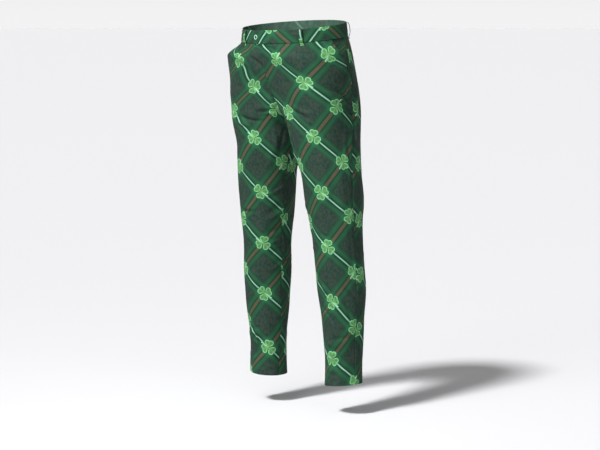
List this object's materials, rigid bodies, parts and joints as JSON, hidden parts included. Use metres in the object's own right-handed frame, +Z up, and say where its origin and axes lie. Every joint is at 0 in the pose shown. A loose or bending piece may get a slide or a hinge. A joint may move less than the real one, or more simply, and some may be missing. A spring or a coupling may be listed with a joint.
{
  "type": "patterned suit trousers",
  "caption": "Suit trousers in worn form, with a shamrock-print bias check, slanted pockets, lapped fly, waistband, tab button and belt loops.",
  "frame": {"origin": "the middle of the waist, at the waistband's half height", "axes": "+Z up along the body, -Y to the wearer's front, +X to the wearer's left"},
  "size_m": [0.4296, 0.2947, 1.0369],
  "materials": {
    "print_cloth": "smooth woven suiting printed with a bias check and shamrocks",
    "pocket_cloth": "the same cloth, inside the pocket mouths",
    "button": "satin moulded button"
  },
  "bodies": {
    "root": {"front_left": "print_cloth", "front_right": "print_cloth", "back_left": "print_cloth", "back_right": "print_cloth", "waistband_left": "print_cloth", "waistband_right": "print_cloth", "belt_loop_front_left": "print_cloth", "belt_loop_front_right": "print_cloth", "belt_loop_back_left": "print_cloth", "belt_loop_back_right": "print_cloth", "belt_loop_centre_back": "print_cloth", "pocket_facing_left": "pocket_cloth", "pocket_facing_right": "pocket_cloth", "waist_button": "button"}
  },
  "joints": []
}
